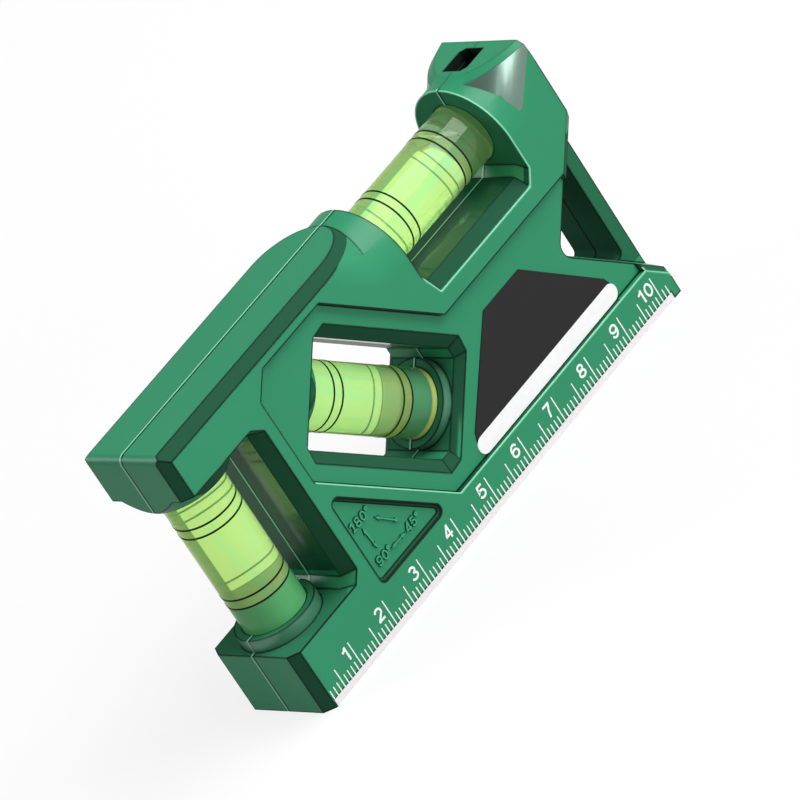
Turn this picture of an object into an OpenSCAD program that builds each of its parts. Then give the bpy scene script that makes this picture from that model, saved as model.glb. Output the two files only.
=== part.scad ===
// Pocket spirit level: two moulded half shells hold a level, a plumb and a 45 degree vial.
// Everything is drawn with x along the ruler from its zero end, y from the front face
// to the rear and z up from the base, and place() then moves it over the origin.
// Slanted features use s = (x - z) / sqrt(2), down the slope, and t = (x + z) / sqrt(2).

/* [Body] */
// Overall length along the ruler
body_l = 104.3; // [104:0.1:112]
// Overall height above the base
body_h = 55.2; // [54.6:0.1:58]
// Overall thickness, front face to rear face
body_t = 21.2; // [21:0.1:23]
// Chamfer of the end and top edges, measured across the thickness
edge_chamfer_t = 2.1; // [1:0.1:2.5]
// Chamfer of the end edges, measured along the ruler
edge_chamfer_l = 1.5; // [0.8:0.1:2]
// Chamfer of the top edges, measured down from the top
edge_chamfer_h = 1.8; // [1:0.1:2.2]
// Radius between the top and the zero end
corner_r = 1.5; // [0.8:0.1:2.5]
// Height of the solid band that carries the ruler
ruler_band_h = 8; // [7.8:0.1:8.4]
// Length of the top left block just under its chamfer, zero end to its round tip
left_block_l = 59.1; // [58.8:0.1:60.4]
// Length of the flat top of that block
left_top_l = 57.3; // [56.8:0.1:58]
// Length of the top right block, its round tip to the end
right_block_l = 10.6; // [10:0.1:12]
// Bevel around the top of that block
right_bevel = 0.9; // [0.5:0.1:1.2]
// Depth of the recessed panel in each face
panel_depth = 1.2; // [0.6:0.1:1.6]
// Width of the raised rim between the panel and the slanted window
panel_rim = 3.1; // [2.8:0.1:3.4]
// Depth of the three-cornered recess in the front face
sign_depth = 0.8; // [0.4:0.1:1.2]

/* [Vials] */
// Outer radius of each vial
vial_r = 6; // [5.6:0.1:6.2]
// Length of each vial
vial_l = 36; // [35:0.1:37]
// Wall of the vial barrel at its middle
vial_wall = 1.3; // [1:0.1:1.6]
// Thickness of the closed end and of the plug
vial_end_l = 5.6; // [4.5:0.1:6]
// How much the crowned bore narrows towards its ends
vial_crown = 0.25; // [0.1:0.05:0.4]
// How far the bubble of each vial lies from the middle, towards its upper end
bubble_shift = 14; // [0:0.5:14]
// Distance between the two inner ring lines
ring_span = 13.4; // [12.5:0.1:14]
// Step from an inner ring line to the outer one
ring_step = 1.9; // [1.5:0.1:2.2]
// Width of a ring line
ring_w = 0.35; // [0.25:0.05:0.5]
// Thickness of the printed lines
print_t = 0.05; // [0.03:0.01:0.08]
// Play between a vial and its seat, and between other seated pieces
seat_play = 0.05; // [0.03:0.01:0.1]

/* [Level window] */
// Middle of the level window along the ruler
level_x = 76.45; // [76:0.05:77]
// Clear length between the two bosses
level_span = 30.1; // [29.5:0.1:30.6]
// Height of the level vial above the axis of its bosses
level_lift = 1.5; // [1:0.1:1.8]
// Height of the window floor
level_floor_z = 37.5; // [37:0.1:38]
// Height of the window edge in the face
level_lip_z = 35.7; // [35.4:0.1:36]

/* [Plumb window] */
// Plumb vial axis from the zero end
plumb_x = 8.5; // [8.3:0.1:9]
// Height of the lower block under the plumb window
plumb_z0 = 12.2; // [11.8:0.1:12.6]
// Underside of the top block over the plumb window
plumb_z1 = 46; // [45.7:0.1:46.2]
// Height of the lower collar
plumb_collar_low = 2.45; // [2:0.05:3]
// Height of the upper tapered collar
plumb_collar_high = 2.9; // [2.4:0.1:3.4]
// Window edge in the face, from the zero end
plumb_edge_x = 19.5; // [19.2:0.1:20]
// Inner window wall, from the zero end
plumb_wall_x = 17.95; // [17.6:0.05:18.3]

/* [Slanted window] */
// High end of the slanted window, down the slope
slant_s0 = -6.95; // [-7.25:0.05:-6.65]
// Low end of the slanted window in the face, down the slope
slant_s1 = 26.65; // [26.35:0.05:27.05]
// Bevel at the low end of the slanted window
slant_end_cut = 1.05; // [0.8:0.05:1.3]
// Distance of the slanted vial axis from the zero corner, across the slope
slant_t = 51.7; // [51.4:0.1:52]
// Half width of the slanted window in the face
slant_edge = 11.35; // [11:0.05:11.6]
// Half width of the slanted window inside
slant_wall = 9.2; // [8.9:0.1:9.5]
// Height of the straight collar
slant_collar_short = 1.8; // [1.5:0.1:2.2]
// Height of the tapered collar
slant_collar_long = 2.75; // [2.45:0.05:3.05]
// Radius of the straight collars
collar_r = 7.6; // [7.3:0.1:8]

/* [Notch and slot] */
// Top of the notch at the far end
notch_top_z = 39.9; // [39.4:0.1:40.4]
// Bottom of the notch at the far end
notch_low_z = 3.95; // [3.8:0.05:4.6]
// Radius in the corner of the notch
notch_r = 3.6; // [3:0.1:4.4]
// Depth of the notch from the front face to the strut
strut_front = 4.4; // [4:0.1:5.4]
// Depth of the notch from the rear face to the strut
strut_rear = 5.3; // [4:0.1:5.6]
// Width of the strut across the notch
strut_w = 2.9; // [2.5:0.1:3.4]
// Length of the cord slot in the top
slot_l = 6; // [5.4:0.1:6.4]
// Width of the cord slot
slot_w = 5.3; // [5:0.1:5.8]
// Distance of the cord slot from the far end
slot_end = 1.8; // [1.5:0.1:2.2]

/* [Base, label and ruler] */
// Thickness of the magnet strip
magnet_h = 1.35; // [1:0.05:1.6]
// Length of each foot beside the magnet strip
foot_l = 1.8; // [1.4:0.1:2.2]
// Thickness of the label
label_t = 0.2; // [0.1:0.05:0.3]
// Height of the light field of the label
label_strip_h = 3.3; // [2.8:0.1:3.6]
// Bare length at each end of the ruler, in whole millimetres
ruler_margin = 2; // [1:1:4]
// Width of a ruler line
tick_w = 0.22; // [0.15:0.01:0.3]
// Length of a millimetre line
tick_short = 1.75; // [1.5:0.05:2]
// Length of a five millimetre line
tick_mid = 3.7; // [3.3:0.1:4]
// Length of a centimetre line
tick_long = 5.1; // [4.6:0.1:5.6]

/* [Hidden] */
$fn = 96;
eps = 0.01;
past = 1;
root2 = sqrt(2);
mid_y = body_t / 2;
bevel_y = 3;
edge_cut = [1.9, 2.4];
wall_cut = [1.5, 1.5];
boss_r = body_t / 2;
boss_drop = 0.1;
boss_z = body_h - boss_r - boss_drop;
level_z = boss_z + level_lift;
level_x0 = level_x - level_span / 2;
level_x1 = level_x + level_span / 2;
oval_a = boss_r * root2;
left_tip_x = left_block_l - oval_a;
left_top_r = 10;
right_tip_x = body_l - right_block_l + oval_a;
plumb_z = (plumb_z0 + plumb_collar_low + plumb_z1 - plumb_collar_high) / 2;
slant_wall_s = slant_s1 - slant_end_cut;
slant_s = (slant_s0 + slant_collar_long + slant_wall_s - slant_collar_short) / 2;
notch_s = (body_l - notch_top_z) / root2;
notch_t = (body_l + notch_low_z) / root2;
notch_step = 0.5;
notch_chamfer = 1.05;
notch_bevel = 1.55;
hole_r = 1.2;
strut_x = body_l - strut_w;
right_s = (body_l - right_block_l - body_h) / root2 + boss_r;
slot_x = body_l - slot_end - slot_l;
slot_y = mid_y - slot_w / 2;
panel_border = 2.4;
panel_top_border = 3.35;
panel_lip_border = 3.4;
panel_x = plumb_edge_x + panel_border;
panel_top_z = body_h - panel_top_border;
panel_under_z = level_lip_z - panel_lip_border;
panel_corner = 3.9;
panel_low_t = slant_t - slant_edge - panel_rim;
panel_high_t = slant_t + slant_edge + panel_rim;
collar_taper = 2.5;
sign_r = 1.2;
sign_gap = 2.2;
sign_edge = 0.15;
slot_corner = 1;
label_under = 0.15;
label_start = 8.3;
label_stop = 6.2;
label_over = 5.7;
label_low_z = ruler_band_h + label_under;
label_x0 = panel_low_t * root2 - ruler_band_h + label_start;
label_x1 = notch_t * root2 - ruler_band_h - label_stop;
label_top_z = panel_under_z - label_over;
label_slope_l = 13.6;
label_corner = 1.2;
label_top_l = 10.4;
seat_r = vial_r + seat_play;
collar_root_r = 8.9;
pin_r = 1.5;
pin_l = 2.4;
pin_lead = 0.4;
pins = [[26, 5], [78, 4.6], [27, 50], [84, 31]];
ruler_last = floor(body_l - ruler_margin);
centimetre = 10;
bore_r = vial_r - vial_wall;
cavity_l = vial_l - 2 * vial_end_l;
bubble_r = 8;
bubble_depth = 3.4;

// Point of the face plane for slanted coordinates.
function slope(p) = [(p[0] + p[1]) / root2, (p[1] - p[0]) / root2];

// Outline of a window with slanted corners: low and high corner points and the corner cut.
function cut_box(a, b, c) = [
    [a[0] + c[0], a[1]], [b[0] - c[0], a[1]], [b[0], a[1] + c[1]], [b[0], b[1] - c[1]],
    [b[0] - c[0], b[1]], [a[0] + c[0], b[1]], [a[0], b[1] - c[1]], [a[0], a[1] + c[1]]];

// Corner of the notch in slanted coordinates, moved in by d and rounded by r.
function notch_ring(d, r) = [
    slope([notch_s + body_l, notch_t + d]),
    slope([notch_s + body_l, notch_t + body_l]),
    slope([notch_s + d, notch_t + body_l]),
    for (i = [0:8]) slope([notch_s + d + r + r * cos(180 + i * 90 / 8),
                           notch_t + d + r + r * sin(180 + i * 90 / 8)])];

// Moves the drawing over the origin: middle of the base, with the ruler along x.
module place() {
    translate([-body_l / 2, -body_t / 2, 0]) children();
}

// Turns a face outline into a prism from y0 to y1.
module face_prism(y0, y1) {
    translate([0, y1, 0]) rotate([90, 0, 0]) linear_extrude(y1 - y0) children();
}

// Skins a list of face outlines, each with as many points, at the depths ys.
module skin(rings, ys) {
    n = len(rings[0]);
    m = len(rings);
    points = [for (k = [0:m - 1]) for (p = rings[k]) [p[0], ys[k], p[1]]];
    sides = [for (k = [0:m - 2]) for (i = [0:n - 1])
        [k * n + i, k * n + (i + 1) % n, (k + 1) * n + (i + 1) % n, (k + 1) * n + i]];
    front = [for (i = [0:n - 1]) n - 1 - i];
    back = [for (i = [0:n - 1]) (m - 1) * n + i];
    polyhedron(points, concat([front, back], sides));
}

// A window: the outline in the face narrows over the bevel to the outline inside.
module window_cut(edge, wall, face_y) {
    skin([edge, edge, wall, wall], [-past, face_y, bevel_y, mid_y + past]);
}

// These three lay an upright vial shape on the axis of each vial.
module at_level() {
    translate([level_x, mid_y, level_z]) rotate([0, 90, 0]) children();
}

module at_plumb() {
    translate([plumb_x, mid_y, plumb_z]) children();
}

module at_slant(s) {
    p = slope([s, slant_t]);
    translate([p[0], mid_y, p[1]]) rotate([0, 135, 0]) children();
}

// Flat body under the axis of the bosses.
module slab() {
    cube([body_l, body_t, boss_z]);
}

// Thin level oval for the blocks: middle at x, half length a along the ruler, half width b.
module oval_slice(x, z, a, b) {
    translate([x, mid_y, z - eps]) linear_extrude(eps) scale([a / b, 1]) circle(b);
}

// Thin level bar across the zero end for the left block, of half width b.
module end_slice(z, b) {
    translate([0, mid_y - b, z - eps]) cube([eps, 2 * b, eps]);
}

// Top left block: its round tip leans back along the slope, and its top edges are chamfered.
module left_block() {
    z0 = boss_z - past;
    z1 = body_h - edge_chamfer_h;
    top_b = boss_r - edge_chamfer_t;
    hull() {
        end_slice(z0 + eps, boss_r);
        end_slice(z1, boss_r);
        end_slice(body_h, top_b);
        oval_slice(left_tip_x + z1 - z0, z0 + eps, oval_a, boss_r);
        oval_slice(left_tip_x, z1, oval_a, boss_r);
        oval_slice(left_top_l - left_top_r, body_h, left_top_r, top_b);
    }
}

// Top right block: the half round front of a cylinder that leans along the 45 degree slope,
// with a bevel around its top.
module right_block() {
    bevel_z = body_h - right_bevel;
    top_b = boss_r - right_bevel;
    intersection() {
        translate([level_x, 0, level_floor_z]) cube([body_l - level_x, body_t, body_h - level_floor_z]);
        union() {
            translate([0, mid_y, 0]) rotate([0, 45, 0]) translate([0, 0, notch_t])
                translate([right_s, 0, -body_h]) cylinder(r=boss_r, h=2 * body_h);
            face_prism(0, body_t) polygon([
                slope([right_s, 0]), slope([right_s + body_h, 0]),
                slope([right_s + body_h, body_l + body_h]), slope([right_s, body_l + body_h])]);
        }
        union() {
            cube([body_l, body_t, bevel_z]);
            hull() {
                oval_slice(right_tip_x - right_bevel, bevel_z, oval_a, boss_r);
                oval_slice(right_tip_x, body_h, top_b * root2, top_b);
            }
        }
    }
}

// Round bosses that carry the level vial, one bar that the window later parts.
module boss_bar() {
    translate([left_tip_x, mid_y, boss_z]) rotate([0, 90, 0])
        cylinder(r=boss_r, h=body_l - right_block_l / 2 - left_tip_x);
}

// All the blocks together, with the two upright edges and the top of the zero end dressed.
module outer_form() {
    intersection() {
        union() {
            slab();
            left_block();
            right_block();
            boss_bar();
        }
        linear_extrude(body_h) polygon([
            [edge_chamfer_l, 0], [body_l, 0], [body_l, body_t], [edge_chamfer_l, body_t],
            [0, body_t - edge_chamfer_t], [0, edge_chamfer_t]]);
        face_prism(0, body_t) union() {
            square([body_l, body_h - corner_r]);
            translate([corner_r, 0]) square([body_l - corner_r, body_h]);
            translate([corner_r, body_h - corner_r]) circle(corner_r);
        }
    }
}

// Level window, open at the top.
module level_cut() {
    top = body_h + past;
    low = 2 * edge_cut[1];
    window_cut(
        [[level_x0 + edge_cut[0], level_lip_z], [level_x1 - edge_cut[0], level_lip_z],
         [level_x1, level_lip_z + edge_cut[1]], [level_x1, top], [level_x0, top],
         [level_x0, level_lip_z + low]],
        [[level_x0 + wall_cut[0], level_floor_z], [level_x1 - wall_cut[0], level_floor_z],
         [level_x1, level_floor_z + wall_cut[1]], [level_x1, top], [level_x0, top],
         [level_x0, level_floor_z + wall_cut[1]]], 0);
}

// Plumb window, open at the zero end.
module plumb_cut() {
    window_cut(
        [[-past, plumb_z0], [plumb_edge_x - edge_cut[0], plumb_z0], [plumb_edge_x, plumb_z0 + edge_cut[0]],
         [plumb_edge_x, plumb_z1 - edge_cut[0]], [plumb_edge_x - edge_cut[1], plumb_z1], [-past, plumb_z1]],
        [[-past, plumb_z0], [plumb_wall_x - wall_cut[0], plumb_z0],
         [plumb_wall_x, plumb_z0 + wall_cut[1]], [plumb_wall_x, plumb_z1 - wall_cut[1]],
         [plumb_wall_x - wall_cut[0], plumb_z1], [-past, plumb_z1]], 0);
}

// Slanted window through the middle of the body.
module slant_cut() {
    edge = cut_box([slant_s0, slant_t - slant_edge], [slant_s1, slant_t + slant_edge], edge_cut);
    wall = cut_box([slant_s0, slant_t - slant_wall], [slant_wall_s, slant_t + slant_wall], wall_cut);
    window_cut([for (p = edge) slope(p)], [for (p = wall) slope(p)], panel_depth);
}

// Notch at the far end down to the given depth, and the three-cornered hole behind it that
// leaves the strut across it.
module notch_cut(depth) {
    skin([notch_ring(0, notch_r), notch_ring(0, notch_r),
          notch_ring(notch_chamfer, notch_r - notch_chamfer),
          notch_ring(notch_bevel, notch_r - notch_bevel)], [-past, 0, notch_step, depth]);
    side = strut_x - hole_r;
    apex = slope([notch_s + notch_bevel + hole_r, notch_t + notch_bevel + hole_r]);
    low_z = (notch_t + notch_bevel + hole_r) * root2 - side;
    high_z = side - (notch_s + notch_bevel + hole_r) * root2;
    face_prism(depth - eps, mid_y + past) hull() {
        translate(apex) circle(hole_r, $fn=32);
        translate([side, low_z]) circle(hole_r, $fn=32);
        translate([side, high_z]) circle(hole_r, $fn=32);
    }
}

// Shallow panel that the label lies in.
module panel_cut() {
    face_prism(-past, panel_depth) polygon([
        [panel_low_t * root2 - ruler_band_h, ruler_band_h],
        [notch_t * root2 - ruler_band_h, ruler_band_h],
        [notch_s * root2 + panel_under_z, panel_under_z],
        [panel_high_t * root2 - panel_under_z, panel_under_z],
        [panel_high_t * root2 - panel_top_z, panel_top_z],
        [panel_x + panel_corner, panel_top_z],
        [panel_x, panel_top_z - panel_corner],
        [panel_x, panel_low_t * root2 - panel_x]]);
}

// Collars around the plumb and the slanted vial.
module collars() {
    translate([plumb_x, mid_y, plumb_z0 - past]) cylinder(r=collar_r, h=plumb_collar_low + past);
    translate([plumb_x, mid_y, plumb_z1]) rotate([180, 0, 0])
        cylinder(r1=boss_r, r2=boss_r - collar_taper, h=plumb_collar_high);
    at_slant(slant_wall_s - slant_collar_short) cylinder(r=collar_r, h=slant_collar_short + past);
    at_slant(slant_s0) cylinder(r1=collar_root_r, r2=collar_r, h=slant_collar_long);
}

// Round seats for the three vials, cut half in each shell.
module vial_seats() {
    at_level() cylinder(r=seat_r, h=vial_l + 2 * seat_play, center=true);
    at_plumb() cylinder(r=seat_r, h=vial_l + 2 * seat_play, center=true);
    at_slant(slant_s) cylinder(r=seat_r, h=vial_l + 2 * seat_play, center=true);
}

// Slot for a carrying cord, from the top down into the three-cornered hole.
module slot_cut() {
    low_z = slot_x - (notch_s + notch_bevel) * root2 - past;
    translate([slot_x, slot_y, low_z]) linear_extrude(body_h) polygon([
        [slot_corner, 0], [slot_l, 0], [slot_l, slot_w - slot_corner],
        [slot_l - slot_corner, slot_w], [0, slot_w], [0, slot_corner]]);
}

// Bed of the magnet strip between the two feet.
module magnet_bed() {
    translate([foot_l, -past, -past]) cube([body_l - 2 * foot_l, body_t + 2 * past, magnet_h + past]);
}

// One half of the body, front face at y = 0 and parting plane at mid_y, with the strut at the
// given depth.
module half_shell(strut_depth) {
    difference() {
        intersection() {
            union() {
                difference() {
                    outer_form();
                    level_cut();
                    plumb_cut();
                    slant_cut();
                }
                collars();
            }
            cube([body_l, mid_y, body_h]);
        }
        vial_seats();
        notch_cut(strut_depth);
        panel_cut();
        magnet_bed();
    }
}

// Outline of the recess that carries the embossed angle signs.
module sign_outline() {
    x0 = panel_x + sign_edge + sign_r;
    z0 = ruler_band_h + sign_edge + sign_r;
    reach = (panel_low_t - sign_gap - sign_r) * root2;
    hull() {
        translate([x0, z0]) circle(sign_r, $fn=32);
        translate([reach - z0, z0]) circle(sign_r, $fn=32);
        translate([x0, reach - x0]) circle(sign_r, $fn=32);
    }
}

// Locating pins on the rear half, and with play their sockets in the front half.
module locating_pins(play) {
    for (p = pins) translate([p[0], mid_y, p[1]]) rotate([90, 0, 0]) {
        translate([0, 0, -past]) cylinder(r=pin_r + play, h=pin_l + play + past, $fn=32);
        translate([0, 0, pin_l + play])
            cylinder(r1=pin_r + play, r2=pin_r - pin_lead, h=pin_lead, $fn=32);
    }
}

module front_shell() {
    color("seagreen") place() difference() {
        half_shell(strut_front);
        locating_pins(seat_play);
        slot_cut();
        face_prism(-past, sign_depth) sign_outline();
    }
}

module rear_shell() {
    color("mediumseagreen") place() difference() {
        union() {
            translate([0, body_t, 0]) mirror([0, 1, 0]) half_shell(strut_rear);
            locating_pins(0);
        }
        slot_cut();
    }
}

// Magnet strip that grips steel, flush with the feet.
module magnet_strip() {
    play = seat_play;
    color("gainsboro") place() translate([foot_l + play, play, 0])
        cube([body_l - 2 * foot_l - 2 * play, body_t - 2 * play, magnet_h]);
}

// Light field along the lower edge of the label, with round ends.
module strip_outline() {
    r = label_strip_h / 2;
    translate([label_x0 + r, label_low_z + r]) circle(r);
    translate([label_x1 - r, label_low_z + r]) circle(r);
    translate([label_x0 + r, label_low_z]) square([label_x1 - label_x0 - 2 * r, label_strip_h]);
}

// Dark field of the label above the light one.
module dark_outline() {
    z0 = label_low_z + label_strip_h / 2;
    z1 = label_low_z + label_strip_h;
    slope_x = label_x1 - label_corner;
    difference() {
        polygon([[label_x0, z0], [label_x1, z0], [slope_x, z1 + label_corner],
                 [slope_x - label_slope_l, label_top_z],
                 [slope_x - label_slope_l - label_top_l, label_top_z],
                 [label_x0 + label_corner, z1 + label_corner]]);
        strip_outline();
    }
}

module label() {
    color("dimgray") place() face_prism(panel_depth - label_t, panel_depth) dark_outline();
}

module label_strip() {
    color("white") place() face_prism(panel_depth - label_t, panel_depth) strip_outline();
}

// Printed millimetre lines, longer at every fifth and tenth.
module ruler_marks() {
    half = centimetre / 2;
    color("white") place() for (x = [ruler_margin:ruler_last]) {
        h = x % centimetre == 0 ? tick_long : x % half == 0 ? tick_mid : tick_short;
        translate([x - tick_w / 2, -print_t, magnet_h]) cube([tick_w, print_t, h]);
    }
}

// Bore of a vial, crowned so that the bubble settles at its middle.
module vial_bore(grow) {
    arc_r = (cavity_l * cavity_l / 4 + vial_crown * vial_crown) / (2 * vial_crown);
    rotate_extrude() intersection() {
        translate([bore_r + grow - arc_r, 0]) circle(arc_r, $fn=720);
        translate([0, -cavity_l / 2]) square([bore_r + 1, cavity_l]);
    }
}

// Barrel with one closed end; the plug closes the other.
module vial_tube() {
    difference() {
        cylinder(r=vial_r, h=vial_l, center=true);
        vial_bore(0);
        translate([0, 0, -vial_l / 2 - past])
            cylinder(r=bore_r - vial_crown, h=vial_end_l + past + eps);
    }
}

module vial_plug() {
    translate([0, 0, -vial_l / 2])
        cylinder(r=bore_r - vial_crown - seat_play, h=vial_end_l - seat_play);
}

// Liquid that fills the bore, less the bubble at z = bubble_at on the side up.
module vial_liquid(bubble_at) {
    difference() {
        vial_bore(-seat_play);
        translate([bubble_depth - bore_r - bubble_r, 0, bubble_at]) sphere(bubble_r);
    }
}

// Four ring lines around the barrel.
module vial_rings() {
    for (side = [-1, 1]) for (k = [0, 1])
        translate([0, 0, side * (ring_span / 2 + k * ring_step) - ring_w / 2]) difference() {
            cylinder(r=vial_r + print_t, h=ring_w);
            translate([0, 0, -past]) cylinder(r=vial_r, h=ring_w + 2 * past);
        }
}

module level_tube() { color("palegreen", 0.5) place() at_level() vial_tube(); }
module level_plug() { color("honeydew") place() at_level() vial_plug(); }
module level_liquid() { color("yellowgreen") place() at_level() vial_liquid(bubble_shift); }
module level_rings() { color("black") place() at_level() vial_rings(); }
module plumb_tube() { color("palegreen", 0.5) place() at_plumb() vial_tube(); }
module plumb_plug() { color("honeydew") place() at_plumb() vial_plug(); }
module plumb_liquid() { color("yellowgreen") place() at_plumb() vial_liquid(bubble_shift); }
module plumb_rings() { color("black") place() at_plumb() vial_rings(); }
module angle_tube() { color("palegreen", 0.5) place() at_slant(slant_s) vial_tube(); }
module angle_plug() { color("honeydew") place() at_slant(slant_s) vial_plug(); }
module angle_liquid() {
    color("yellowgreen") place() at_slant(slant_s) rotate([180, 0, 0]) vial_liquid(bubble_shift);
}
module angle_rings() { color("black") place() at_slant(slant_s) vial_rings(); }

front_shell();
rear_shell();
magnet_strip();
label();
label_strip();
ruler_marks();
level_tube();
level_plug();
level_liquid();
level_rings();
plumb_tube();
plumb_plug();
plumb_liquid();
plumb_rings();
angle_tube();
angle_plug();
angle_liquid();
angle_rings();
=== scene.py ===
"""Looks of a pocket spirit level with three vials, a printed ruler and a magnet strip.

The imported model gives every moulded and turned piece. This add-on adds the printed numbers, the
embossed angle signs and the sloping wall of their recess, gives each piece its finish, and sets
the stage.
"""

import functools
import math
import operator
import types
import typing

import bmesh
import bpy
import numpy as np
from bpy.props import FloatProperty, FloatVectorProperty, PointerProperty
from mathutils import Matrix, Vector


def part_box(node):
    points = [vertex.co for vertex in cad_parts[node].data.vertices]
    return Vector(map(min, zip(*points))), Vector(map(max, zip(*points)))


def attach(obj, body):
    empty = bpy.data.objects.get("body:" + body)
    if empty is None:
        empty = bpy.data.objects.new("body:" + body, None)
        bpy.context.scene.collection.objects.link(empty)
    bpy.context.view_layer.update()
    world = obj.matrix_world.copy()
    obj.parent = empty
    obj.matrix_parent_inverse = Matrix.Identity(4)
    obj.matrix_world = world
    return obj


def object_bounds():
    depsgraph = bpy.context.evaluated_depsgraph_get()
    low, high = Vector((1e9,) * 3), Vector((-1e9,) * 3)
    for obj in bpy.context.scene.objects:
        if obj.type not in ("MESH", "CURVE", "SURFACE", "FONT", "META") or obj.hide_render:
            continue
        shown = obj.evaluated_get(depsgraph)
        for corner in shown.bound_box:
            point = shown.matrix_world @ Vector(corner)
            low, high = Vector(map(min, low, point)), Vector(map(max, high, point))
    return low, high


bl_info = {
    "name": "Spirit level looks",
    "version": (1, 1, 0),
    "blender": (4, 5, 0),
    "location": "3D View > Sidebar > Spirit level",
    "description": "Finishes, printed numbers, embossed signs and stage of a pocket spirit level",
    "category": "Object",
}

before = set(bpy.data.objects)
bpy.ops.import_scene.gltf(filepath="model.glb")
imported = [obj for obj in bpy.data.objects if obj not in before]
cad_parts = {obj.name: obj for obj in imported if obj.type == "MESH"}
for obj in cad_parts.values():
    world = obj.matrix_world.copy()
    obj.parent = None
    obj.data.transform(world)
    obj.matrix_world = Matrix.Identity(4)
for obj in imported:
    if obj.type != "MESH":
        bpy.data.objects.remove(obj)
CAD_LOW, CAD_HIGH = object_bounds()

MM = 0.001
ROOT2 = math.sqrt(2)
WHITE = (1.0, 1.0, 1.0, 1.0)
BODY = "root"
NUMBERS = range(1, 11)
CENTIMETRE = 10 * MM


# Vials

class Vial(typing.NamedTuple):
    """What sets one vial apart. Its axis points to the end that looks unlike the rest, past the
    last ring line, where shade is painted on the vial. Then come the colour of that painted
    shade, how much it differs and how clear it is, and how much of a painted yellow glint at
    the rim and of a bubble is seen."""
    axis: tuple
    end_colour: str
    end_weight: float
    end_clearness: float
    rim_weight: float
    bubble_weight: float


VIALS = {
    "level": Vial((1.0, 0.0, 0.0), "level_end", 0.65, 1.0, 0.0, 1.0),
    "plumb": Vial((0.0, 0.0, -1.0), "plumb_shade", 0.92, 0.1, 0.0, 0.0),
    "angle": Vial((1 / ROOT2, 0.0, -1 / ROOT2), "angle_shade", 0.75, 0.1, 0.8, 0.0),
}
VIAL_BOXES = {vial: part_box(vial + "_tube") for vial in VIALS}
VIAL_MIDDLES = {vial: tuple((low + high) / 2) for vial, (low, high) in VIAL_BOXES.items()}
VIAL_RADIUS = 6.0 * MM
LAST_RING = 8.75 * MM
COLLAR_RADIUS, COLLAR_SLACK = 7.6 * MM, 0.1 * MM
WINDOW_HALF, WINDOW_REACH, END_ROOM = 14.0 * MM, 12.3 * MM, 3.5 * MM


# Places on the shells, in the row frame. A run is a distance from the zero end. From the foot of
# that end, S runs down at 45 degrees and T runs up at 45 degrees. FROM_Y and TO_Y are distances
# from the parting plane.
ZERO_X, FACE_Y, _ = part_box("front_shell")[0]
TOP_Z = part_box("front_shell")[1][2]
HALF_DEPTH = -FACE_Y
JUST_SHORT = 0.02 * MM

BOSS_RADIUS, BOSS_SLACK = HALF_DEPTH, 0.15 * MM
BOSS_Z = TOP_Z - BOSS_RADIUS - 0.1 * MM
BOSS_END_X = VIAL_MIDDLES["level"][0] + 15.05 * MM

BLOCK_END_X = ZERO_X + 60.0 * MM
CHAMFER_START_X, CHAMFER_LOW_Z = ZERO_X + 1.6 * MM, TOP_Z - 1.8 * MM
SHOULDER_T, SHOULDER_END_X = 64.0 * MM, BLOCK_END_X + 1.4 * MM

BEVEL_FROM_Y, WALL_TO_Y = 7.62 * MM, 7.58 * MM
WALL_DULL_Y, WALL_SHINY_Y = -2.6 * MM, -4.4 * MM

RULER_BAND_Z = 8.0 * MM
PANEL_LOW_X, PANEL_HIGH_X = ZERO_X + 21.0 * MM, ZERO_X + 93.0 * MM
PANEL_LOW_Z, PANEL_TOP_Z = RULER_BAND_Z - 0.3 * MM, 52.5 * MM
PANEL_FROM_Y = HALF_DEPTH - 1.25 * MM

LEANING_X, LEANING_Z, LEANING_S = ZERO_X + 92.2 * MM, 37.0 * MM, 37.82 * MM
LEANING_FROM_Y = 2.9 * MM
RIGHT_TOP_Z = TOP_Z - 4.5 * MM
STRUT_X, STRUT_LOW_Z, STRUT_TO_Y = ZERO_X + 91.5 * MM, RULER_BAND_Z + 0.1 * MM, 6.5 * MM
SLOT_LOW_X, SLOT_HIGH_X = ZERO_X + 96.4 * MM, ZERO_X + 102.6 * MM
SLOT_TOP_Z, SLOT_TO_Y = TOP_Z - 0.03 * MM, 2.75 * MM

# Widths of the parting line's two halves, and places of the edges that catch the light, where
# HALF is half the width of the line along an edge.
SEAM_PALE, SEAM_DARK = 0.34 * MM, 0.42 * MM
GLEAM_FROM_Y = HALF_DEPTH - 0.3 * MM
WINDOW_LOW_X, WINDOW_HIGH_X = BOSS_END_X - 30.0 * MM, BOSS_END_X + 0.4 * MM
WINDOW_LIP_Z = 35.3 * MM
BAND_RUN, BAND_HALF = 43.8 * MM, 0.4 * MM
RIM_T, RIM_HALF, RIM_LOW_RUN, RIM_HIGH_RUN = 37.25 * MM, 0.35 * MM, 22.0 * MM, 44.5 * MM
LIP_T, LIP_HALF, LIP_RUN = 76.6 * MM, 0.5 * MM, 90.0 * MM
BOSS_EDGE_HALF, BOSS_EDGE_RADIUS, BOSS_EDGE_LOW = 0.3 * MM, BOSS_RADIUS - 0.4 * MM, -4.0 * MM


# Sizes and colours

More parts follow.
